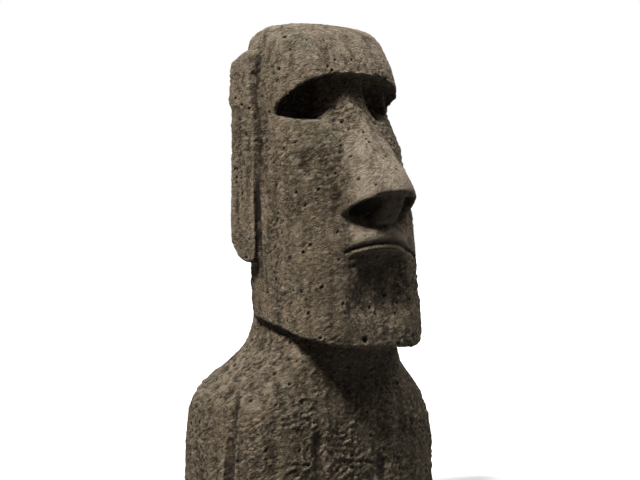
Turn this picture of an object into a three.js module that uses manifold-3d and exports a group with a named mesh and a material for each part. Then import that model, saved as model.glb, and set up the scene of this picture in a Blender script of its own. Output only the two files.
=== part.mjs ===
import * as THREE from 'three';
import { mergeVertices } from 'three/addons/utils/BufferGeometryUtils.js';
import Module from 'manifold-3d';

// A moai: a stone head with long ears on a neck and shoulders, carved from one block and cut flat below the chest.
// Millimetres, +Z up. The face looks along -Y and the statue's own left side is +X.

const STONE_COLOUR = 0x6b5f50;

// Heights above the flat underside.
const CROWN_Z = 2228;
const EAR_TOP_Z = 2088;
const BROW_ARCH_Z = 1979;
const BROW_SQUARENESS = 2.55;
const EAR_STEP_Z = 1826;
const SOCKET_FLOOR_Z = 1769;
const NOSE_TIP_Z = 1425;
const NOSE_BASE_Z = 1270;
const MOUTH_Z = 1212;
const EAR_BOTTOM_Z = 1115;
const CHIN_HOLLOW_Z = 990;
const CHIN_Z = 735;
const GROOVE_TOP_Z = 450;

// Half widths across the statue.
const HEAD_HALF_WIDTH = 364;
const NECK_HALF_WIDTH = 325;
const CHEST_HALF_WIDTH = 600;
const NOSE_HALF_WIDTH = 190;
const SEPTUM_HALF_WIDTH = 56;
const MOUTH_HALF_WIDTH = 208;

// Distances in front of the upright axis through the shoulders, and behind it for the two backs.
const BROW_FRONT = 346;
const NOSE_TIP_FRONT = 642;
const LIP_FRONT = 542;
const CHIN_FRONT = 506;
const CHEST_FRONT = 374;
const CHEST_BACK = 362;
const HEAD_BACK = 190;
const RIGHT_SOCKET_BACK_FRONT = 164;
const LEFT_SOCKET_BACK_FRONT = 222;
const GROOVE_FRONT = 119;

const HEAD_BACK_SQUARENESS = 2.35;
const JAW_SLOPE = 0.26;
const EAR_THICKNESS = 38;
const EAR_BLOCK_RISE = 10;
const EAR_BEVEL = 12;
const GROOVE_DEPTH = 28;
const MOUTH_DROOP = 30;

const wasm = await Module();
wasm.setup();

function toSolid(geometry) {
  const bare = geometry.clone();
  bare.deleteAttribute('normal');
  bare.deleteAttribute('uv');
  bare.clearGroups();
  const merged = mergeVertices(bare, 1e-3);
  const vertProperties = new Float32Array(merged.getAttribute('position').array);
  const triVerts = new Uint32Array(merged.getIndex().array);
  return new wasm.Manifold(new wasm.Mesh({ numProp: 3, vertProperties, triVerts }));
}

function toGeometry(solid) {
  const mesh = solid.getMesh();
  const geometry = new THREE.BufferGeometry();
  geometry.setAttribute('position', new THREE.Float32BufferAttribute(mesh.vertProperties, 3));
  geometry.setIndex(new THREE.Uint32BufferAttribute(mesh.triVerts, 1));
  geometry.computeVertexNormals();
  return geometry;
}

// The solid together with its mirror image on the other side of the face.
function pair(solid) {
  return solid.add(solid.mirror([1, 0, 0]));
}

// One level section of a loft: a rounded rectangle from -halfWidth to halfWidth and from back to front.
// A higher squareness brings it nearer to a true rectangle; the back half can have its own.
function sectionPoint(angle, section, backSquareness) {
  const across = Math.cos(angle);
  const forward = Math.sin(angle);
  const power = 2 / (forward < 0 ? backSquareness : section.squareness);
  const middle = (section.front + section.back) / 2;
  const reach = (section.front - section.back) / 2;
  return {
    x: section.halfWidth * Math.sign(across) * Math.abs(across) ** power,
    forward: middle + reach * Math.sign(forward) * Math.abs(forward) ** power,
  };
}

// Stations are [height, halfWidth, back, front, squareness] from the bottom up, joined by a smooth curve.
function loft(stations, segments, rows, backSquareness) {
  const heights = stations.map((station) => station[0]);
  const values = stations.flatMap((station) => station.slice(1));
  const curve = new THREE.CubicInterpolant(heights, values, 4);
  const geometry = new THREE.CylinderGeometry(1, 1, 1, segments, rows);
  geometry.rotateX(Math.PI / 2);
  const points = geometry.getAttribute('position');
  for (let i = 0; i < points.count; i += 1) {
    const along = (points.getZ(i) + 0.5) * (stations.length - 1);
    const below = Math.min(Math.floor(along + 1e-6), stations.length - 2);
    const height = THREE.MathUtils.lerp(heights[below], heights[below + 1], along - below);
    const [halfWidth, back, front, squareness] = curve.evaluate(height);
    const onRim = Math.hypot(points.getX(i), points.getY(i)) > 0.5;
    const angle = Math.atan2(-points.getY(i), points.getX(i));
    const section = { halfWidth, back, front, squareness };
    const place = sectionPoint(angle, section, backSquareness ?? squareness);
    const middle = (front + back) / 2;
    points.setXYZ(i, onRim ? place.x : 0, -(onRim ? place.forward : middle), height);
  }
  return toSolid(geometry);
}

function ellipsoid(centre, radii, segments, rings) {
  const geometry = new THREE.SphereGeometry(1, segments, rings);
  geometry.scale(radii.x, radii.y, radii.z);
  geometry.translate(centre.x, centre.y, centre.z);
  return geometry;
}

// A plate standing in the plane of forward and height, from its outline there, up to x = outer.
function sidePlate(outline, width, outer, options) {
  const plate = new THREE.ExtrudeGeometry(outline, { depth: width, ...options });
  const forward = new THREE.Vector3(0, -1, 0);
  const up = new THREE.Vector3(0, 0, 1);
  const inward = new THREE.Vector3(-1, 0, 0);
  plate.applyMatrix4(new THREE.Matrix4().makeBasis(forward, up, inward));
  plate.translate(outer, 0, 0);
  return toSolid(plate);
}

function chestAndNeck() {
  return loft([
    [0, CHEST_HALF_WIDTH, -CHEST_BACK, CHEST_FRONT, 3.6],
    [395, CHEST_HALF_WIDTH - 14, -CHEST_BACK, CHEST_FRONT - 2, 3.5],
    [505, CHEST_HALF_WIDTH - 50, -CHEST_BACK + 4, CHEST_FRONT - 14, 3.2],
    [580, CHEST_HALF_WIDTH - 114, -CHEST_BACK + 20, CHEST_FRONT - 22, 3.0],
    [645, NECK_HALF_WIDTH + 88, -CHEST_BACK + 62, CHEST_FRONT - 12, 2.8],
    [695, NECK_HALF_WIDTH + 44, -CHEST_BACK + 108, CHEST_FRONT + 8, 2.6],
    [760, NECK_HALF_WIDTH + 2, -CHEST_BACK + 144, CHEST_FRONT + 26, 2.6],
    [1000, NECK_HALF_WIDTH - 30, -CHEST_BACK + 195, CHEST_FRONT + 14, 2.6],
  ], 56, 20);
}

// The long flat-sided face, leaning out from the eyes to the chin.
function face() {
  return loft([
    [CHIN_Z - 60, HEAD_HALF_WIDTH - 20, -HEAD_BACK + 12, CHIN_FRONT - 6, 3.9],
    [CHIN_Z + 60, HEAD_HALF_WIDTH - 6, -HEAD_BACK + 8, CHIN_FRONT + 2, 3.9],
    [940, HEAD_HALF_WIDTH - 4, -HEAD_BACK + 10, CHIN_FRONT - 7, 3.7],
    [1170, HEAD_HALF_WIDTH - 2, -HEAD_BACK + 6, CHIN_FRONT - 26, 3.4],
    [1400, HEAD_HALF_WIDTH, -HEAD_BACK, CHIN_FRONT - 56, 3.2],
    [1520, HEAD_HALF_WIDTH - 2, -HEAD_BACK, CHIN_FRONT - 80, 3.1],
    [1640, HEAD_HALF_WIDTH - 4, -HEAD_BACK, CHIN_FRONT - 121, 3.0],
    [SOCKET_FLOOR_Z, HEAD_HALF_WIDTH - 6, -HEAD_BACK, BROW_FRONT - 46, 3.0],
    [1900, HEAD_HALF_WIDTH - 20, -HEAD_BACK + 4, BROW_FRONT - 84, 3.0],
    [2050, HEAD_HALF_WIDTH - 44, -HEAD_BACK + 30, BROW_FRONT - 106, 3.0],
  ], 52, 22, HEAD_BACK_SQUARENESS);
}

function forehead() {
  return loft([
    [SOCKET_FLOOR_Z - 60, HEAD_HALF_WIDTH - 40, -HEAD_BACK + 40, BROW_FRONT - 120, 3.0],
    [SOCKET_FLOOR_Z, HEAD_HALF_WIDTH - 6, -HEAD_BACK, BROW_FRONT - 38, 3.0],
    [1880, HEAD_HALF_WIDTH + 3, -HEAD_BACK - 2, BROW_FRONT + 3, 3.0],
    [BROW_ARCH_Z, HEAD_HALF_WIDTH - 3, -HEAD_BACK - 2, BROW_FRONT - 18, 3.0],
    [2100, HEAD_HALF_WIDTH - 20, -HEAD_BACK + 6, BROW_FRONT - 76, 3.0],
    [2155, HEAD_HALF_WIDTH - 40, -HEAD_BACK + 26, BROW_FRONT - 112, 3.0],
    [2190, HEAD_HALF_WIDTH - 78, -HEAD_BACK + 68, BROW_FRONT - 152, 2.9],
    [2214, HEAD_HALF_WIDTH - 150, -HEAD_BACK + 136, BROW_FRONT - 214, 2.7],
    [CROWN_Z, HEAD_HALF_WIDTH - 290, -HEAD_BACK + 220, BROW_FRONT - 270, 2.2],
  ], 52, 16, HEAD_BACK_SQUARENESS);
}

// Height of the brow's lower edge: a wide flat arch that drops to the socket floor at the temples.
function browEdge(across) {
  const lift = Math.max(0, 1 - Math.abs(across / HEAD_HALF_WIDTH) ** BROW_SQUARENESS) ** (1 / BROW_SQUARENESS);
  return SOCKET_FLOOR_Z + (BROW_ARCH_Z - SOCKET_FLOOR_Z) * lift;
}

// Points along the brow's lower edge from one place across the head to another, closer together at the temples.
function browEdgePoints(from, to, steps) {
  const start = Math.acos(from / HEAD_HALF_WIDTH);
  const end = Math.acos(to / HEAD_HALF_WIDTH);
  return Array.from({ length: steps + 1 }, (_, i) => {
    const across = HEAD_HALF_WIDTH * Math.cos(THREE.MathUtils.lerp(start, end, i / steps));
    return new THREE.Vector2(across, browEdge(across));
  });
}

// All that lies under the brow's edge, in front of the temples.
function underBrow() {
  const side = HEAD_HALF_WIDTH + 40;
  const bottom = SOCKET_FLOOR_Z - 120;
  const outline = new THREE.Shape();
  outline.moveTo(-side, bottom);
  outline.lineTo(side, bottom);
  outline.lineTo(side, SOCKET_FLOOR_Z);
  browEdgePoints(HEAD_HALF_WIDTH, -HEAD_HALF_WIDTH, 28).forEach((point) => outline.lineTo(point.x, point.y));
  outline.lineTo(-side, SOCKET_FLOOR_Z);
  outline.closePath();
  const cut = new THREE.ExtrudeGeometry(outline, { depth: NOSE_TIP_FRONT, bevelEnabled: false });
  cut.rotateX(Math.PI / 2);
  cut.translate(0, -RIGHT_SOCKET_BACK_FRONT, 0);
  return toSolid(cut);
}

// The hollow between the cheek and the brow, with a level floor. It narrows towards its back.
function eyeSocket(backFront, reach) {
  const depth = 300;
  const roundedDepth = 136;
  const backSize = 0.45;
  const middle = new THREE.Vector2(205, SOCKET_FLOOR_Z + 120);
  const outline = new THREE.Shape();
  outline.moveTo(HEAD_HALF_WIDTH + 4, SOCKET_FLOOR_Z);
  browEdgePoints(HEAD_HALF_WIDTH, 90, 12).forEach((point) => outline.lineTo(point.x, point.y + 4));
  outline.quadraticCurveTo(95, SOCKET_FLOOR_Z + 60, 175, SOCKET_FLOOR_Z);
  outline.closePath();
  const cut = new THREE.ExtrudeGeometry(outline, { depth, steps: 5, bevelEnabled: false, curveSegments: 6 });
  cut.rotateX(Math.PI / 2);
  const points = cut.getAttribute('position');
  for (let i = 0; i < points.count; i += 1) {
    const share = THREE.MathUtils.clamp(-points.getY(i) / roundedDepth, 0, 1);
    const size = backSize + (1 - backSize) * Math.sqrt(share * (2 - share));
    points.setX(i, middle.x + (points.getX(i) - middle.x) * size * reach);
    points.setZ(i, middle.y + (points.getZ(i) - middle.y) * size);
  }
  cut.translate(0, -backFront + 60, 0);
  return toSolid(cut);
}

// The nose widens from its root under the brow to the wings. Its sections are centred on the cheek's surface.
function nose() {
  return loft([
    [NOSE_BASE_Z - 20, NOSE_HALF_WIDTH - 40, 330, NOSE_TIP_FRONT - 82, 2.2],
    [NOSE_BASE_Z + 60, NOSE_HALF_WIDTH + 26, 270, NOSE_TIP_FRONT - 36, 2.2],
    [NOSE_TIP_Z - 60, NOSE_HALF_WIDTH + 20, 250, NOSE_TIP_FRONT - 12, 2.1],
    [NOSE_TIP_Z, NOSE_HALF_WIDTH + 12, 230, NOSE_TIP_FRONT, 2.0],
    [1490, NOSE_HALF_WIDTH + 6, 220, NOSE_TIP_FRONT - 26, 1.85],
    [1600, NOSE_HALF_WIDTH - 6, 240, NOSE_TIP_FRONT - 122, 1.75],
    [1700, NOSE_HALF_WIDTH - 34, 220, NOSE_TIP_FRONT - 214, 1.75],
    [SOCKET_FLOOR_Z, NOSE_HALF_WIDTH - 70, 180, BROW_FRONT + 18, 1.8],
    [1890, NOSE_HALF_WIDTH - 74, 120, BROW_FRONT - 62, 2.0],
    [2020, NOSE_HALF_WIDTH - 34, 80, BROW_FRONT - 112, 2.3],
  ], 28, 17);
}

// Everything under the ball and the septum of the nose.
function underNose() {
  const root = 400;
  const septum = 540;
  const beyond = NOSE_TIP_FRONT + 60;
  const bottom = NOSE_BASE_Z - 80;
  const outline = new THREE.Shape();
  outline.moveTo(root, bottom);
  outline.lineTo(root, NOSE_BASE_Z - 5);
  outline.lineTo(septum, NOSE_BASE_Z + 30);
  outline.lineTo(NOSE_TIP_FRONT - 10, NOSE_BASE_Z + 158);
  outline.lineTo(beyond, NOSE_BASE_Z + 190);
  outline.lineTo(beyond, bottom);
  outline.closePath();
  const outer = NOSE_HALF_WIDTH + 40;
  return sidePlate(outline, 2 * outer, outer, { bevelEnabled: false });
}

// Everything under one wing of the nose, whose edge climbs from the cheek to the tip.
function underWing() {
  const outline = new THREE.Shape();
  outline.moveTo(370, NOSE_BASE_Z - 40);
  outline.lineTo(390, NOSE_BASE_Z + 38);
  outline.lineTo(585, NOSE_BASE_Z + 134);
  outline.lineTo(620, NOSE_BASE_Z + 172);
  outline.lineTo(700, NOSE_BASE_Z + 172);
  outline.lineTo(700, NOSE_BASE_Z - 40);
  outline.closePath();
  const outer = NOSE_HALF_WIDTH + 40;
  return sidePlate(outline, outer - SEPTUM_HALF_WIDTH, outer, { bevelEnabled: false });
}

function nostril() {
  const hollow = ellipsoid(new THREE.Vector3(), new THREE.Vector3(66, 96, 66), 14, 9);
  hollow.rotateX(-0.35);
  hollow.rotateZ(-0.2);
  hollow.translate(104, -500, NOSE_BASE_Z + 104);
  return toSolid(hollow);
}

// The face swells a little around the mouth.
function muzzle() {
  const centre = new THREE.Vector3(0, -(LIP_FRONT - 176), MOUTH_Z + 10);
  return toSolid(ellipsoid(centre, new THREE.Vector3(270, 150, 150), 20, 10));
}

// Both lips droop towards the corners of the mouth.
function lip(centreZ, thickness, front, halfWidth) {
  const depth = 122;
  const centre = new THREE.Vector3(0, -(front - depth), centreZ);
  const geometry = ellipsoid(centre, new THREE.Vector3(halfWidth, depth, thickness), 24, 10);
  const points = geometry.getAttribute('position');
  for (let i = 0; i < points.count; i += 1) {
    points.setZ(i, points.getZ(i) - MOUTH_DROOP * (points.getX(i) / MOUTH_HALF_WIDTH) ** 2);
  }
  return toSolid(geometry);
}

// A broad shallow hollow between the lower lip and the edge of the jaw.
function chinHollow() {
  const depth = 44;
  const radii = new THREE.Vector3(430, 200, 300);
  const centre = new THREE.Vector3(0, -(CHIN_FRONT - depth + radii.y), CHIN_HOLLOW_Z);
  return toSolid(ellipsoid(centre, radii, 24, 14));
}

// Everything below the jaw: its underside runs down from the rear corner to the chin.
function belowJaw() {
  const size = 1600;
  const height = 400;
  const cut = new THREE.BoxGeometry(size, size, height);
  cut.translate(0, 0, -height / 2);
  cut.rotateX(Math.atan(JAW_SLOPE));
  cut.translate(0, -CHIN_FRONT, CHIN_Z);
  return toSolid(cut);
}

// A closed outline through the corners, each rounded over the given length of its two sides.
function roundedOutline(corners, round) {
  const outline = new THREE.Shape();
  const count = corners.length;
  corners.forEach((here, i) => {
    const before = corners[(i + count - 1) % count];
    const after = corners[(i + 1) % count];
    const start = here.clone().lerp(before, round / here.distanceTo(before));
    const end = here.clone().lerp(after, round / here.distanceTo(after));
    if (i === 0) {
      outline.moveTo(start.x, start.y);
    } else {
      outline.lineTo(start.x, start.y);
    }
    outline.quadraticCurveTo(here.x, here.y, end.x, end.y);
  });
  outline.closePath();
  return outline;
}

function earSlab(outline, inner, outer) {
  return sidePlate(outline, outer - inner - EAR_BEVEL, outer - EAR_BEVEL, {
    bevelThickness: EAR_BEVEL,
    bevelSize: EAR_BEVEL,
    bevelOffset: -EAR_BEVEL,
    bevelSegments: 2,
    curveSegments: 5,
  });
}

// A long ear: a slab to the lobe, and a prouder block at its top that ends in a small ledge.
function ear() {
  const outer = HEAD_HALF_WIDTH + EAR_THICKNESS;
  const inner = HEAD_HALF_WIDTH / 2;
  const whole = roundedOutline([
    new THREE.Vector2(34, EAR_TOP_Z - 4),
    new THREE.Vector2(-104, EAR_TOP_Z - 48),
    new THREE.Vector2(-102, EAR_BOTTOM_Z + 92),
    new THREE.Vector2(-30, EAR_BOTTOM_Z + 4),
    new THREE.Vector2(72, EAR_BOTTOM_Z - 4),
    new THREE.Vector2(62, EAR_STEP_Z - 60),
  ], 34);
  const block = roundedOutline([
    new THREE.Vector2(48, EAR_TOP_Z + 14),
    new THREE.Vector2(-104, EAR_TOP_Z - 52),
    new THREE.Vector2(-114, EAR_STEP_Z),
    new THREE.Vector2(54, EAR_STEP_Z),
  ], 40);
  return earSlab(whole, inner, outer).add(earSlab(block, inner, outer + EAR_BLOCK_RISE));
}

// A V-shaped channel parts each arm from the chest. It leans out of the surface towards its top.
function armGroove() {
  const below = 190;
  const length = GROOVE_TOP_Z + below;
  const radius = GROOVE_DEPTH + 6;
  const groove = new THREE.CylinderGeometry(radius, radius, length, 4);
  groove.rotateX(Math.PI / 2);
  groove.rotateY(0.05);
  groove.translate(CHEST_HALF_WIDTH + radius - GROOVE_DEPTH, -GROOVE_FRONT, length / 2 - below);
  return toSolid(groove);
}

function moai() {
  const brow = forehead().subtract(underBrow());
  // The right socket is deep, and the left one is shallower with a rim at its temple.
  let head = face().add(brow);
  head = head.subtract(eyeSocket(RIGHT_SOCKET_BACK_FRONT, 1).mirror([1, 0, 0]));
  head = head.subtract(eyeSocket(LEFT_SOCKET_BACK_FRONT, 0.82));
  head = head.add(nose().subtract(underNose()).subtract(pair(underWing()))).subtract(pair(nostril()));
  head = head.add(muzzle()).subtract(chinHollow());
  head = head.add(lip(MOUTH_Z + 24, 72, LIP_FRONT, MOUTH_HALF_WIDTH));
  head = head.add(lip(MOUTH_Z - 27, 30, LIP_FRONT - 4, MOUTH_HALF_WIDTH - 6));
  head = head.subtract(belowJaw());
  head = head.add(pair(ear()));
  return head.add(chestAndNeck()).subtract(pair(armGroove()));
}

// The origin is under the middle of the statue's bounding box.
const geometry = toGeometry(moai());
geometry.computeBoundingBox();
const middle = geometry.boundingBox.getCenter(new THREE.Vector3());
geometry.translate(0, -middle.y, 0);

const stone = new THREE.MeshStandardMaterial({ color: STONE_COLOUR, roughness: 0.9, metalness: 0 });
const bust = new THREE.Mesh(geometry, stone);
bust.name = 'moai_bust';

const group = new THREE.Group();
group.add(bust);

export default group;
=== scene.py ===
import math

import bpy
import numpy as np
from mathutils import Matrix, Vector, noise


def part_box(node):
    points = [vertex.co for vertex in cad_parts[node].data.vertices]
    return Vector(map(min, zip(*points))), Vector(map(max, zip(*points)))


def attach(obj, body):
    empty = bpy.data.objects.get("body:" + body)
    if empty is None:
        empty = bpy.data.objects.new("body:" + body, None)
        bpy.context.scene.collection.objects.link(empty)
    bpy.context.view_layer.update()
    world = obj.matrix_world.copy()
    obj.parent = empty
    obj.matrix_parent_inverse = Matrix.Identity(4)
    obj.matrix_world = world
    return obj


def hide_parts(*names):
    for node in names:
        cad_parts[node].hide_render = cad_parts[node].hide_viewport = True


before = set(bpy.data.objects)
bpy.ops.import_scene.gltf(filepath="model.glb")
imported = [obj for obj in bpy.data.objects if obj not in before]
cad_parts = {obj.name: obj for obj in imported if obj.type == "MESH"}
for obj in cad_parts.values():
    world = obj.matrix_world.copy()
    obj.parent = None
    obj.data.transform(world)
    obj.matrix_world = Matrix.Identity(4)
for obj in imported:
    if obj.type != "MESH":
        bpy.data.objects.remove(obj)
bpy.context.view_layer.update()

low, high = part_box("moai_bust")

# heights that the carving follows, and the shoulders' axis, from the bust's box
marks = {
    "browZ": high.z - 0.249,        # top of the brow's arch
    "socketZ": high.z - 0.459,      # floor of the eye sockets
    "noseTipZ": high.z - 0.803,
    "mouthZ": high.z - 1.018,
    "chinZ": high.z - 1.493,
    "shoulderZ": high.z - 1.64,
    "axisY": high.y - 0.362,        # upright axis through the shoulders
}


def only(piece):
    bpy.ops.object.select_all(action="DESELECT")
    piece.select_set(True)
    bpy.context.view_layer.objects.active = piece


def modify(piece, kind, **values):
    only(piece)
    added = piece.modifiers.new(kind.title(), kind)
    for name, value in values.items():
        setattr(added, name, value)
    bpy.ops.object.modifier_apply(modifier=added.name)


def smooth(piece, passes, where=""):
    modify(piece, "SMOOTH", factor=0.5, iterations=passes, vertex_group=where)


def coordinates(piece):
    values = np.empty(len(piece.data.vertices) * 3)
    piece.data.vertices.foreach_get("co", values)
    return values.reshape(-1, 3)


def setCoordinates(piece, values):
    piece.data.vertices.foreach_set("co", values.ravel())
    piece.data.update()


def normals(piece):
    values = np.empty(len(piece.data.vertices) * 3)
    piece.data.vertices.foreach_get("normal", values)
    return values.reshape(-1, 3)


def rise(values, start, end):
    # 0 below start, 1 above end, with a smooth change between
    share = np.clip((values - start) / (end - start), 0, 1)
    return share * share * (3 - 2 * share)


def band(values, start, end, soft):
    # 1 between start and end, 0 well outside them
    return rise(values, start - soft, start + soft) * (1 - rise(values, end - soft, end + soft))


def region(piece, share, limits):
    # the share of every point that is inside all the limits, fading to 0 outside them
    points = coordinates(piece)
    across, forward, up = points[:, 0], marks["axisY"] - points[:, 1], points[:, 2]
    aside, slope = np.abs(across), normals(piece)[:, 2]
    kinds = {
        "between": lambda start, end, soft: band(up, start, end, soft),
        "above": lambda start, end: rise(up, start, end),
        "below": lambda start, end: 1 - rise(up, start, end),
        "aside": lambda start, end, soft: band(aside, start, end, soft),    # distance from the middle
        "outside": lambda start, end: rise(aside, start, end),
        "within": lambda start, end: 1 - rise(aside, start, end),
        "onLeft": lambda start, end: rise(across, start, end),
        "forward": lambda start, end: rise(forward, start, end),
        "behind": lambda start, end: 1 - rise(forward, start, end),
        "facingUp": lambda start, end: rise(slope, start, end),
        "facingDown": lambda start, end: rise(-slope, start, end),
    }
    for kind, values in limits.items():
        share = share * kinds[kind](*values)
    return share


def regions(piece, table):
    return sum(region(piece, share, limits) for share, limits in table.values())


def group(piece, name, weights, steps=20):
    # a vertex group in even steps of weight
    made = piece.vertex_groups.new(name=name)
    nearest = np.round(weights * steps).astype(int)
    for step in range(1, steps + 1):
        held = np.flatnonzero(nearest == step)
        if len(held):
            made.add(held.tolist(), step / steps, "REPLACE")


def place(across, forward, up):
    # a point on or near the stone: across to its own left, forward of the shoulders' axis
    return np.array((across, marks["axisY"] - forward, up))


block = {
    "mergeWithin": 0.00002,
    "voxel": 0.0058,
    "facetPasses": 30,       # smoothing that takes the facets out
    "keepWithin": 0.005,     # how far that may move a point
    "softenPasses": 160,     # more of it in the softened regions
    "lastPasses": 2,
    "linePasses": 1,         # smoothing after the carved lines
    "creasePasses": 8,       # smoothing along the carved edges after the weathering
    "triangles": 197000,
}
softened = {
    # share, then the limits of each region that is smoothed more
    "chin": (1, {"between": (marks["chinZ"] + 0.05, marks["mouthZ"] - 0.07, 0.03),
                 "forward": (0.36, 0.42)}),
    "noseRoot": (1, {"between": (marks["socketZ"] + 0.01, marks["browZ"] - 0.03, 0.02),
                     "within": (0.13, 0.2), "forward": (0.12, 0.18)}),
    "besideNose": (1, {"between": (marks["noseTipZ"] + 0.02, marks["socketZ"] - 0.04, 0.03),
                       "aside": (0.1, 0.25, 0.03), "forward": (0.25, 0.33)}),
    "jawCorner": (0.5, {"below": (marks["chinZ"] + 0.02, marks["chinZ"] + 0.05),
                        "above": (marks["chinZ"] - 0.02, marks["chinZ"]), "forward": (0.35, 0.45)}),
    "noseWing": (0.4, {"between": (marks["noseTipZ"] - 0.1, marks["noseTipZ"] - 0.02, 0.02),
                       "aside": (0.15, 0.26, 0.02), "forward": (0.36, 0.42)}),
    "temple": (0.8, {"between": (marks["socketZ"] - 0.03, marks["socketZ"] + 0.1, 0.02),
                     "onLeft": (0.29, 0.33)}),
    "noseTip": (0.35, {"between": (marks["noseTipZ"] - 0.04, marks["noseTipZ"] + 0.04, 0.02),
                       "within": (0.1, 0.16), "forward": (0.5, 0.56)}),
}
droops = {
    # how far down, then where: the corners of the mouth, and the middle of the jaw's edge
    "mouth": (0.02, {"between": (marks["mouthZ"] - 0.07, marks["mouthZ"] + 0.07, 0.04),
                     "forward": (0.36, 0.4), "outside": (0.06, 0.26)}),
    "jaw": (0.015, {"above": (marks["chinZ"] - 0.04, marks["chinZ"] - 0.01),
                    "below": (marks["chinZ"] + 0.02, marks["chinZ"] + 0.12),
                    "forward": (0.34, 0.46), "within": (0.24, 0.37)}),
}


def roughBlock():
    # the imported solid, merged and remeshed evenly
    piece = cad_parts["moai_bust"].copy()
    piece.data = piece.data.copy()
    piece.name = "moaiStone"
    bpy.context.scene.collection.objects.link(piece)
    only(piece)
    bpy.ops.object.mode_set(mode="EDIT")
    bpy.ops.mesh.select_all(action="SELECT")
    bpy.ops.mesh.remove_doubles(threshold=block["mergeWithin"])
    bpy.ops.object.mode_set(mode="OBJECT")
    modify(piece, "REMESH", mode="VOXEL", voxel_size=block["voxel"], adaptivity=0)
    return piece


def easeFacets(piece):
    before = coordinates(piece)
    group(piece, "soften", np.clip(regions(piece, softened), 0, 1))
    smooth(piece, block["facetPasses"])
    moved = coordinates(piece) - before
    length = np.linalg.norm(moved, axis=1)
    keep = np.minimum(1, block["keepWithin"] / np.maximum(length, 1e-9))
    setCoordinates(piece, before + moved * keep[:, None])
    smooth(piece, block["softenPasses"], "soften")
    smooth(piece, block["lastPasses"])


def droopEdges(piece):
    for fall, limits in droops.values():
        points = coordinates(piece)
        points[:, 2] -= region(piece, fall, limits)
        setCoordinates(piece, points)


farAway = 9.0                # more than any distance on the stone
lines = {
    # points (across, forward, up) along the line, then half its width and its depth
    "chestOuter": (((-0.5, 0.33, 0.27), (-0.505, 0.33, 0.15), (-0.5, 0.33, -0.05)), 0.05, 0.016),
    "chestInner": (((-0.275, 0.374, 0.31), (-0.265, 0.374, 0.18), (-0.27, 0.374, -0.05)), 0.048, 0.018),
    "chestFar": (((0.11, 0.376, 0.2), (0.12, 0.376, 0.1), (0.12, 0.376, -0.05)), 0.045, 0.015),
}
mouthLine = {
    # across and up along the line
    "path": ((-0.195, 1.163), (-0.17, 1.175), (-0.12, 1.193), (-0.06, 1.205), (0.0, 1.209), (0.06, 1.206),
             (0.12, 1.196), (0.18, 1.18), (0.24, 1.16), (0.29, 1.138)),
    "width": 0.0115,
    "depth": 0.015,
    "faceForward": 0.25,     # the face lies further forward than this
}
pairedLines = {
    "earFront": (((0.372, -0.02, 2.07), (0.378, 0.0, 2.03), (0.38, 0.016, 1.97), (0.382, 0.022, 1.9),
                  (0.382, 0.008, 1.832), (0.385, -0.02, 1.818)), 0.02, 0.022),
    "earBehind": (((0.37, 0.02, 1.8), (0.37, 0.03, 1.7), (0.37, 0.044, 1.6), (0.37, 0.058, 1.45),
                   (0.37, 0.07, 1.3), (0.37, 0.074, 1.16), (0.37, 0.07, 1.05)), 0.026, 0.014),
    "arm": (((0.55, 0.12, 0.56), (0.57, 0.128, 0.47), (0.6, 0.137, 0.36), (0.6, 0.13, 0.25),
             (0.6, 0.11, 0.12), (0.6, 0.1, -0.05)), 0.04, 0.022),
    "armLow": (((0.6, 0.137, 0.36), (0.6, 0.13, 0.25), (0.6, 0.11, 0.12), (0.6, 0.1, -0.05)), 0.026, 0.04),
}
presses = {
    # broad soft hollows, alike on both sides: across, forward, up, then half sizes and depth
    "underLip": ((0.0, 0.5, 1.1), (0.3, 0.16, 0.1), 0.022),
    "chin": ((0.0, 0.49, 1.0), (0.27, 0.16, 0.2), 0.014),
    "cheek": ((0.34, 0.33, 1.57), (0.1, 0.07, 0.1), 0.022),
    "besideNose": ((0.25, 0.4, 1.6), (0.06, 0.12, 0.13), 0.01),
    "tip": ((0.0, 0.64, 1.405), (0.13, 0.09, 0.05), 0.016),
}


def carveLine(piece, path, width, depth):
    # press a rounded channel into the stone along a path, full depth in its inner part
    flat = 0.15 * width
    points = coordinates(piece)
    nearest = np.full(len(points), farAway)
    ends = [place(*spot) for spot in path]
    for start, end in zip(ends, ends[1:]):
        along = end - start
        share = np.clip((points - start) @ along / (along @ along), 0, 1)
        nearest = np.minimum(nearest, np.linalg.norm(points - start - share[:, None] * along, axis=1))
    reach = 1 - rise(nearest, flat, width)
    setCoordinates(piece, points - normals(piece) * (reach * depth)[:, None])


def onFace(piece, across, up):
    # the point of the face at that place, as across, forward, up
    points = coordinates(piece)
    notFace = points[:, 1] > marks["axisY"] - mouthLine["faceForward"]
    distance = np.hypot(points[:, 0] - across, points[:, 2] - up) + farAway * notFace
    return across, marks["axisY"] - points[np.argmin(distance), 1], up


def carveLines(piece):
    path = [onFace(piece, across, up) for across, up in mouthLine["path"]]
    carveLine(piece, path, mouthLine["width"], mouthLine["depth"])
    for path, width, depth in lines.values():
        carveLine(piece, path, width, depth)
    for path, width, depth in pairedLines.values():
        carveLine(piece, path, width, depth)
        carveLine(piece, [(-across, forward, up) for across, forward, up in path], width, depth)
    smooth(piece, block["linePasses"])


def pressHollows(piece):
    for centre, size, depth in presses.values():
        points = coordinates(piece)
        away = points - place(*centre)
        away[:, 0] = np.abs(points[:, 0]) - centre[0]
        reach = np.linalg.norm(away / np.array(size), axis=1)
        setCoordinates(piece, points - normals(piece) * ((1 - rise(reach, 0, 1)) * depth)[:, None])


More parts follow.
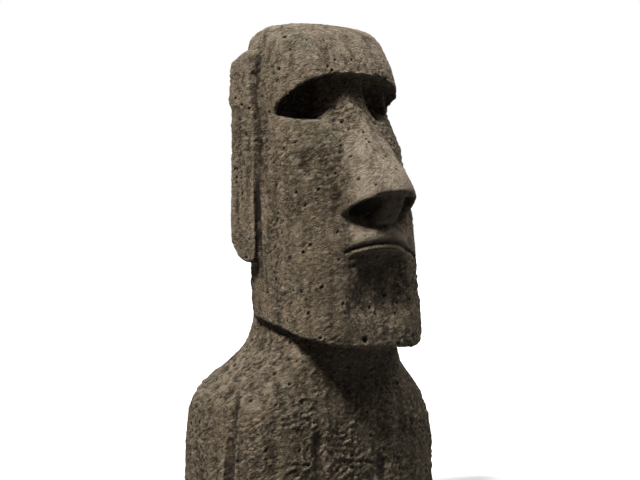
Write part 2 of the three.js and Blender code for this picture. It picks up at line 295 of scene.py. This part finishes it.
noiseMiddle = {"SOFT_NOISE": 0.5, "HARD_NOISE": 0.3}     # the level that leaves the stone where it is
weather = {
    # kind of noise, size, detail, depth in metres, stretch and turn of its space, where it acts
    "swell": ("SOFT_NOISE", 0.36, 1, 0.014, (1, 1, 1), (0, 0, 0), "all"),
    "flutes": ("SOFT_NOISE", 0.075, 1, 0.024, (1, 1, 6), (0, 0, 0), "fluted"),
    "lumps": ("SOFT_NOISE", 0.085, 2, 0.018, (1.2, 1.2, 1), (0, -20, -42), "rough"),
    "scales": ("HARD_NOISE", 0.036, 2, 0.021, (1.7, 1.2, 0.8), (0, -25, -42), "rough"),
    "grain": ("SOFT_NOISE", 0.018, 2, 0.009, (1.6, 1, 0.8), (0, -30, -42), "grained"),
}
pitting = {
    # size of a cell, radius of a pit as a share of it, depth, stretch, turn, where
    "pits": (0.06, 0.2, 0.016, (1.3, 0.8, 0.8), (0, -42, -42), "pitted"),
}
pitShape = {"flat": 0.2, "deep": 1.3,        # in radii
            "flankFrom": 0.36, "flankForward": 0.16}
namedPits = {
    # single deep pits: across, up, radius; those past flankFrom are on the right flank of the head
    "temple": (-0.364, 1.998, 0.013), "forehead": (0.016, 2.07, 0.013), "brow": (-0.15, 2.012, 0.012),
    "eyeCorner": (-0.112, 1.784, 0.014), "ridge": (-0.04, 1.684, 0.011), "ridgeLow": (0.008, 1.618, 0.01),
    "chinEdge": (-0.124, 0.752, 0.018), "jaw": (-0.364, 1.041, 0.01), "farChin": (0.177, 0.947, 0.011),
    "farJaw": (0.3, 0.915, 0.013),
}


hollowKinds = {
    # passes of smoothing that the stone is held against, and the depth of a full hollow
    "creases": (26, 0.005),
    "broad": (80, 0.012),
    "fine": (12, 0.004),
}
creaseRange = (0.08, 0.5)
uneven = {"size": 0.16, "seed": 3, "spread": 0.35, "least": 0.45, "more": 0.55}
calmRegions = {
    # where the stone is smoother: share and limits
    "nose": (1, {"between": (marks["noseTipZ"] - 0.12, marks["socketZ"] - 0.02, 0.05),
                 "within": (0.13, 0.22), "forward": (0.38, 0.46)}),
    "lips": (0.9, {"between": (marks["mouthZ"] - 0.05, marks["mouthZ"] + 0.09, 0.02),
                   "forward": (0.36, 0.42)}),
    "brow": (0.5, {"above": (marks["browZ"] - 0.03, marks["browZ"] + 0.09)}),
}
stoneRegions = {
    "underside": {"facingDown": (0.9, 0.99), "below": (0.01, 0.03)},        # the flat cut
    "chest": {"below": (marks["shoulderZ"] - 0.12, marks["chinZ"] - 0.02)},
    "chin": {"between": (marks["chinZ"] + 0.03, marks["mouthZ"] - 0.06, 0.03), "forward": (0.34, 0.42)},
}
calmShare = {"rough": 0.85, "grained": 0.6, "fluted": 1, "pitted": 0.5}     # how far calm stone holds each back


def hollows(piece, passes, deep):
    # how far each point lies below the stone round it: 1 is deep in a hollow, -1 on a ridge
    before = coordinates(piece)
    outward = normals(piece)
    smooth(piece, passes)
    depth = np.einsum("ij,ij->i", coordinates(piece) - before, outward)
    setCoordinates(piece, before)
    return np.clip(depth / deep, -1, 1)


def patches(points, size, seed):
    # slow change from 0 to 1 over the stone
    values = np.array([noise.noise(Vector(spot) / size + Vector((seed, 0, 0))) for spot in points])
    return rise(values, -uneven["spread"], uneven["spread"])


def areas(piece):
    # vertex groups that say where the stone is smooth, rough, fluted or pitted
    crease = rise(hollows(piece, *hollowKinds["creases"]), *creaseRange)
    standing = 1 - region(piece, 1, stoneRegions["underside"])
    chest = region(piece, 1, stoneRegions["chest"])
    chin = region(piece, 1, stoneRegions["chin"])
    calm = np.clip(regions(piece, calmRegions), 0, 1)
    patchy = uneven["least"] + uneven["more"] * patches(coordinates(piece), uneven["size"], uneven["seed"])
    group(piece, "all", standing)
    group(piece, "creased", standing * crease)
    # the chest is the roughest, and it and the chin are the most fluted
    extra = {
        "rough": patchy * (0.8 + 0.2 * chest),
        "grained": 0.5 + 0.5 * patchy,
        "fluted": 0.65 + 0.35 * np.maximum(chest, chin),
        "pitted": 1,
    }
    for name, amount in extra.items():
        group(piece, name, standing * (1 - crease) * (1 - calmShare[name] * calm) * amount)


def spaceFor(stretch, turn):
    # an empty whose own axes stretch and turn a texture
    bpy.ops.object.select_all(action="DESELECT")
    bpy.ops.object.empty_add(rotation=[math.radians(angle) for angle in turn])
    empty = bpy.context.object
    empty.scale = stretch
    bpy.context.view_layer.update()
    return empty


def displace(piece, texture, depth, middle, stretch, turn, where):
    empty = spaceFor(stretch, turn)
    modify(piece, "DISPLACE", texture=texture, texture_coords="OBJECT", texture_coords_object=empty,
           strength=depth, mid_level=middle, vertex_group=where)
    bpy.data.objects.remove(empty)
    bpy.data.textures.remove(texture)


def weatherStone(piece):
    for name, (kind, size, detail, depth, stretch, turn, where) in weather.items():
        texture = bpy.data.textures.new(name, "CLOUDS")
        texture.noise_type = kind
        texture.noise_scale = size
        texture.noise_depth = detail
        texture.noise_basis = "IMPROVED_PERLIN"
        displace(piece, texture, depth, noiseMiddle[kind], stretch, turn, where)


def pitStone(piece):
    for name, (size, radius, depth, stretch, turn, where) in pitting.items():
        texture = bpy.data.textures.new(name, "VORONOI")
        texture.noise_scale = size
        texture.use_color_ramp = True
        ramp = texture.color_ramp
        ramp.interpolation = "EASE"
        ramp.elements[0].position = 0.0
        ramp.elements[0].color = (0, 0, 0, 1)
        ramp.elements[1].position = radius
        ramp.elements[1].color = (1, 1, 1, 1)
        displace(piece, texture, depth, 1.0, stretch, turn, where)


def namedPit(piece, across, up, radius):
    # the most forward point of the stone at that place
    points = coordinates(piece)
    outward = normals(piece)
    forward = marks["axisY"] - points[:, 1]
    distance = np.hypot(points[:, 0] - across, points[:, 2] - up)
    if abs(across) > pitShape["flankFrom"]:
        distance = np.hypot(forward - pitShape["flankForward"], points[:, 2] - up)
        distance += farAway * (points[:, 0] > 0)
    near = np.flatnonzero((distance < 2 * radius) & (forward > 0))
    centre = points[near[np.argmin(points[near, 1])]]
    reach = 1 - rise(np.linalg.norm(points - centre, axis=1), pitShape["flat"] * radius, radius)
    setCoordinates(piece, points - outward * (reach * radius * pitShape["deep"])[:, None])


def flattenUnderside(piece):
    points = coordinates(piece)
    points[:, 2] = np.maximum(points[:, 2], low.z)
    setCoordinates(piece, points)


def thin(piece):
    modify(piece, "TRIANGULATE")
    modify(piece, "DECIMATE", ratio=block["triangles"] / len(piece.data.polygons))
    piece.vertex_groups.clear()


paintedLightRegions = {
    # painted light: paler stone on top-facing surfaces, the forehead, the nose ridge, the upper lip and the
    # upper flanks, where the light falls: share and limits
    "noseRidge": (1, {"between": (marks["noseTipZ"] - 0.1, marks["socketZ"] - 0.03, 0.05),
                      "within": (0.15, 0.24), "forward": (0.38, 0.46)}),
    "upperLip": (0.7, {"between": (marks["mouthZ"] - 0.01, marks["mouthZ"] + 0.08, 0.02),
                       "forward": (0.4, 0.46)}),
    "forehead": (0.6, {"above": (marks["browZ"] - 0.02, marks["browZ"] + 0.1)}),
    "tops": (0.8, {"facingUp": (0.2, 0.7)}),
    "upperFlank": (0.4, {"above": (marks["socketZ"], marks["browZ"] + 0.05), "behind": (0.1, 0.2)}),
}
shadeAndStainRegions = {
    # painted shade on the chin under the lip, under the nose and in the fold beside it, and darker cheeks; it
    # also covers the painted light
    "chin": (1, {"between": (marks["chinZ"] + 0.02, marks["mouthZ"] - 0.03, 0.04), "forward": (0.3, 0.46)}),
    "cheek": (0.3, {"below": (marks["socketZ"] - 0.1, marks["socketZ"] + 0.05),
                    "behind": (0.36, 0.42), "forward": (0.1, 0.2)}),
    "underNose": (1.6, {"facingDown": (0.15, 0.5), "forward": (0.4, 0.46),
                        "between": (marks["noseTipZ"] - 0.16, marks["noseTipZ"] + 0.04, 0.02)}),
    "noseFold": (0.5, {"between": (marks["noseTipZ"] - 0.1, marks["socketZ"] - 0.02, 0.04),
                       "aside": (0.19, 0.29, 0.03), "forward": (0.2, 0.3)}),
}
paintedShadeOffLight = {
    # painted shade beside the nose, along the edge under the eye sockets and on the neck and throat under the
    # jaw, left off where the painted light is
    "besideNose": (0.9, {"between": (marks["noseTipZ"] - 0.12, marks["socketZ"] + 0.03, 0.05),
                         "forward": (0.2, 0.3)}),
    "sockets": (1, {"between": (marks["socketZ"] - 0.03, marks["socketZ"] + 0.02, 0.02),
                    "forward": (0.2, 0.26)}),
    "neck": (0.7, {"below": (marks["chinZ"] - 0.1, marks["chinZ"])}),
    "throat": (0.3, {"forward": (0.2, 0.36), "below": (marks["chinZ"] - 0.1, marks["chinZ"])}),
}
# painted shade, with some dirt, in the broad hollows: its share of the dark colour and the gain on their depth
hollowDirtAndShade = {"share": 0.75, "gain": 1.3}
# the most painted shade and stain that a point takes
mostShadeAndStain = 1.6


def markSurface(piece):
    # attributes that the material reads
    # painted light where the light falls, and painted shade under the nose, lips and jaw, beside the nose and
    # in hollows
    paintedLight = regions(piece, paintedLightRegions)
    shadeAndStain = regions(piece, shadeAndStainRegions) + regions(piece, paintedShadeOffLight) * (1 - paintedLight)
    # painted shade and dirt darken the broad hollows
    deep = hollows(piece, *hollowKinds["broad"])
    shadeAndStain += hollowDirtAndShade["share"] * np.clip(hollowDirtAndShade["gain"] * deep, 0, 1)
    for name, values in (("hollow", hollows(piece, *hollowKinds["fine"])), ("paintedLight", np.clip(paintedLight, 0, 1)),
                         ("shadeAndStain", np.clip(shadeAndStain, 0, mostShadeAndStain))):
        piece.data.attributes.new(name, "FLOAT", "POINT").data.foreach_set("value", values)


finish = {
    "pale": (0.258, 0.1928, 0.126, 1),
    "mid": (0.165, 0.1225, 0.0756, 1),
    # dark: the colour of dark streaks and patches of the stone, and also of the painted shade
    "dark": (0.072, 0.0522, 0.0279, 1),
    # the colour of the painted shade in crevices and small hollows
    "hollowShade": (0.014, 0.009, 0.0045, 1),
    # the colour of the painted light
    "paintedLight": (0.287, 0.23, 0.171, 1),
    "lichen": (0.145, 0.1425, 0.0945, 1),
    "pink": (0.25, 0.1729, 0.1188, 1),
    # the colour of pale flecks, and also of the painted highlight on ridges and rises
    "fleckAndHighlight": (0.37, 0.3087, 0.225, 1),
    "roughness": 0.93,
    "specular": 0.2,
    "patternRoughness": 0.62,
    "bumpDepth": 0.012,
}
spaces = {
    # turn and stretch of the space that a pattern lies in
    "slanted": ((0, -28, -42), (1.9, 1.2, 0.85)),
    "upright": ((0, 0, 0), (1, 1, 5)),
}
patterns = {
    # space, scale, detail, where the noise starts and ends its rise, distortion
    "winding": ("slanted", 48, 4, 0.0, 1.0, 0.3),
    "creviced": ("plain", 14, 3, 0.38, 0.56, 0.0),
    "grit": ("slanted", 130, 5, 0.32, 0.68, 0.0),
    "pale": ("plain", 4.5, 6, 0.36, 0.64, 0.0),
    "mottle": ("slanted", 22, 5, 0.36, 0.62, 0.0),
    "streaks": ("upright", 18, 5, 0.48, 0.66, 0.0),
    "pink": ("plain", 7, 4, 0.56, 0.72, 0.0),
    "lichen": ("plain", 5.5, 6, 0.57, 0.7, 0.4),
    "dark": ("slanted", 70, 4, 0.5, 0.7, 0.0),
    "fleckAndHighlight": ("slanted", 95, 3, 0.58, 0.72, 0.0),
}
ranges = {
    # start and end of a change, then its value at each
    "crevice": (0.06, 0.0, 0.0, 1.0),
    "ridge": (0.56, 0.7, 0.0, 1.0),
    "mottle": (0.0, 1.0, 0.4, 0.84),
    "rugged": (0.0, 1.0, 0.95, 0.35),
    "deep": (0.05, 0.7, 0.0, 1.0),
    "raised": (-0.15, -0.8, 0.0, 0.4),
}
# the first amount is the share of painted light, the last the share of painted highlight on ridges
amounts = {"paintedLight": 0.75, "pink": 0.4, "lichen": 0.55, "dark": 0.75, "fleckAndHighlight": 0.6, "ridge": 0.35}


def stoneMaterial():
    # the stone's colour carries painted light, painted shade and painted highlights
    material = bpy.data.materials.new("weatheredStoneAndPaintedLight")
    material.use_nodes = True
    nodes = material.node_tree.nodes
    links = material.node_tree.links
    shader = nodes["Principled BSDF"]
    shader.inputs["Roughness"].default_value = finish["roughness"]
    shader.inputs["Specular IOR Level"].default_value = finish["specular"]
    plain = nodes.new("ShaderNodeTexCoord").outputs["Object"]

    def turned(turn, scale):
        node = nodes.new("ShaderNodeMapping")
        node.vector_type = "TEXTURE"
        node.inputs["Rotation"].default_value = [math.radians(angle) for angle in turn]
        node.inputs["Scale"].default_value = scale
        links.new(plain, node.inputs["Vector"])
        return node.outputs["Vector"]

    vectors = {name: turned(*values) for name, values in spaces.items()}
    vectors["plain"] = plain

    def pattern(name):
        space, scale, detail, start, end, distortion = patterns[name]
        node = nodes.new("ShaderNodeTexNoise")
        node.inputs["Scale"].default_value = scale
        node.inputs["Detail"].default_value = detail
        node.inputs["Roughness"].default_value = finish["patternRoughness"]
        node.inputs["Distortion"].default_value = distortion
        links.new(vectors[space], node.inputs["Vector"])
        return between(node.outputs["Fac"], start, end)

    def between(value, start, end, least=0.0, most=1.0):
        node = nodes.new("ShaderNodeMapRange")
        for name, amount in (("From Min", start), ("From Max", end), ("To Min", least), ("To Max", most)):
            node.inputs[name].default_value = amount
        links.new(value, node.inputs["Value"])
        return node.outputs["Result"]

    def remap(value, name):
        return between(value, *ranges[name])

    def maths(operation, first, second):
        node = nodes.new("ShaderNodeMath")
        node.operation = operation
        for socket, value in zip(node.inputs, (first, second)):
            if isinstance(value, float):
                socket.default_value = value
            else:
                links.new(value, socket)
        return node.outputs[0]

    def blend(factor, first, second):
        node = nodes.new("ShaderNodeMix")
        node.data_type = "RGBA"
        links.new(factor, node.inputs["Factor"])
        for socket, value in ((6, first), (7, second)):
            if isinstance(value, tuple):
                node.inputs[socket].default_value = value
            else:
                links.new(value, node.inputs[socket])
        return node.outputs[2]

    def scaled(value, amount):
        return maths("MULTIPLY", value, amount)

    def attribute(name):
        node = nodes.new("ShaderNodeAttribute")
        node.attribute_name = name
        return node.outputs["Fac"]

    # thin winding crevices where a noise crosses its middle, in some places more than in others
    winding = pattern("winding")
    crevice = remap(maths("ABSOLUTE", maths("SUBTRACT", winding, 0.5), 0.0), "crevice")
    crevice = scaled(crevice, pattern("creviced"))
    ridge = remap(winding, "ridge")
    grit = pattern("grit")

    # the ground colour, then painted light, painted shade mixed with some stain, and streaks over it
    colour = blend(pattern("pale"), finish["mid"], finish["pale"])
    colour = blend(scaled(attribute("paintedLight"), amounts["paintedLight"]), colour, finish["paintedLight"])
    mottle = remap(pattern("mottle"), "mottle")
    colour = blend(scaled(attribute("shadeAndStain"), mottle), colour, finish["dark"])
    colour = blend(pattern("streaks"), colour, finish["dark"])
    for name in ("pink", "lichen", "dark", "fleckAndHighlight"):
        colour = blend(scaled(pattern(name), amounts[name]), colour, finish[name])

    # painted highlight on ridges and painted shade in crevices and hollows, weaker where the painted light is
    rugged = remap(attribute("paintedLight"), "rugged")
    colour = blend(scaled(ridge, scaled(rugged, amounts["ridge"])), colour, finish["fleckAndHighlight"])
    colour = blend(scaled(crevice, rugged), colour, finish["hollowShade"])
    # painted shade in small hollows, painted highlight on small rises
    hollow = attribute("hollow")
    colour = blend(remap(hollow, "deep"), colour, finish["hollowShade"])
    colour = blend(remap(hollow, "raised"), colour, finish["fleckAndHighlight"])
    links.new(colour, shader.inputs["Base Color"])

    height = maths("SUBTRACT", maths("ADD", grit, winding), crevice)
    bump = nodes.new("ShaderNodeBump")
    bump.inputs["Distance"].default_value = finish["bumpDepth"]
    bump.inputs["Strength"].default_value = 1.0
    links.new(height, bump.inputs["Height"])
    links.new(bump.outputs["Normal"], shader.inputs["Normal"])
    return material


def makeStone():
    print("stone: remeshing the block")
    piece = roughBlock()
    easeFacets(piece)
    droopEdges(piece)
    print("stone: carving lines into", len(piece.data.vertices), "points")
    pressHollows(piece)
    carveLines(piece)
    print("stone: weathering")
    areas(piece)
    weatherStone(piece)
    smooth(piece, block["creasePasses"], "creased")
    pitStone(piece)
    for across, up, radius in namedPits.values():
        namedPit(piece, across, up, radius)
    flattenUnderside(piece)
    thin(piece)
    markSurface(piece)
    print("stone: triangles", len(piece.data.polygons))
    only(piece)
    bpy.ops.object.shade_smooth()
    piece.data.materials.clear()
    piece.data.materials.append(stoneMaterial())
    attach(piece, "root")
    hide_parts("moai_bust")


makeStone()


studio = {
    "azimuth": -42.0,
    "distance": 12.0,
    "aim": (0.040, marks["axisY"] - 0.036, 1.219),
    "lens": 143.9,
    # azimuth, elevation, strength and softness of each light
    "keyLight": (-76, 55, 7.9, 14),
    "sideLight": (72, 58, 3.1, 40),
    "lampDistance": 8,
    "floorTone": 0.8,
    "floorSize": 400,
    "glow": 0.05,            # light from all round on the stone
    "glowColour": (1, 0.82, 0.6, 1),
    "backdrop": (1, 1, 1, 1),
    "farthest": 200,
}


def direction(azimuth, elevation):
    turn, lift = math.radians(azimuth), math.radians(elevation)
    return Vector((math.sin(turn) * math.cos(lift), -math.cos(turn) * math.cos(lift), math.sin(lift)))


def addLight(name):
    azimuth, elevation, strength, softness = studio[name]
    towards = direction(azimuth, elevation)
    bpy.ops.object.select_all(action="DESELECT")
    bpy.ops.object.light_add(type="SUN", location=towards * studio["lampDistance"])
    lamp = bpy.context.object
    lamp.name = name
    lamp.data.energy = strength
    lamp.data.angle = math.radians(softness)
    lamp.rotation_euler = towards.to_track_quat("Z", "Y").to_euler()


def makeStudio():
    bpy.ops.object.select_all(action="DESELECT")
    bpy.ops.mesh.primitive_plane_add(size=studio["floorSize"], location=(0, 0, low.z))
    floor = bpy.context.object
    floor.name = "floor"
    floor.visible_diffuse = False
    pale = bpy.data.materials.new("paleFloor")
    pale.use_nodes = True
    tone = studio["floorTone"]
    shader = pale.node_tree.nodes["Principled BSDF"]
    shader.inputs["Base Color"].default_value = (tone, tone, tone, 1)
    shader.inputs["Roughness"].default_value = 1
    floor.data.materials.append(pale)
    addLight("keyLight")
    addLight("sideLight")
    world = bpy.data.worlds.new("studio")
    world.use_nodes = True
    nodes = world.node_tree.nodes
    links = world.node_tree.links
    # bright where the camera sees it, a weak glow on the stone
    seen = nodes.new("ShaderNodeBackground")
    seen.inputs["Strength"].default_value = 1.0
    seen.inputs["Color"].default_value = studio["backdrop"]
    glow = nodes["Background"]
    glow.inputs["Color"].default_value = studio["glowColour"]
    glow.inputs["Strength"].default_value = studio["glow"]
    path = nodes.new("ShaderNodeLightPath")
    either = nodes.new("ShaderNodeMixShader")
    links.new(path.outputs["Is Camera Ray"], either.inputs[0])
    links.new(glow.outputs[0], either.inputs[1])
    links.new(seen.outputs[0], either.inputs[2])
    links.new(either.outputs[0], nodes["World Output"].inputs[0])
    bpy.context.scene.world = world
    bpy.context.scene.view_settings.view_transform = "Standard"


def makeCamera():
    angle = math.radians(studio["azimuth"])
    aim = Vector(studio["aim"])
    stand = aim + Vector((math.sin(angle), -math.cos(angle), 0)) * studio["distance"]
    bpy.ops.object.select_all(action="DESELECT")
    bpy.ops.object.camera_add(location=stand)
    camera = bpy.context.object
    camera.rotation_euler = (aim - stand).to_track_quat("-Z", "Y").to_euler()
    camera.data.lens = studio["lens"]
    camera.data.clip_end = studio["farthest"]
    bpy.context.scene.camera = camera


print("studio")
makeStudio()
makeCamera()
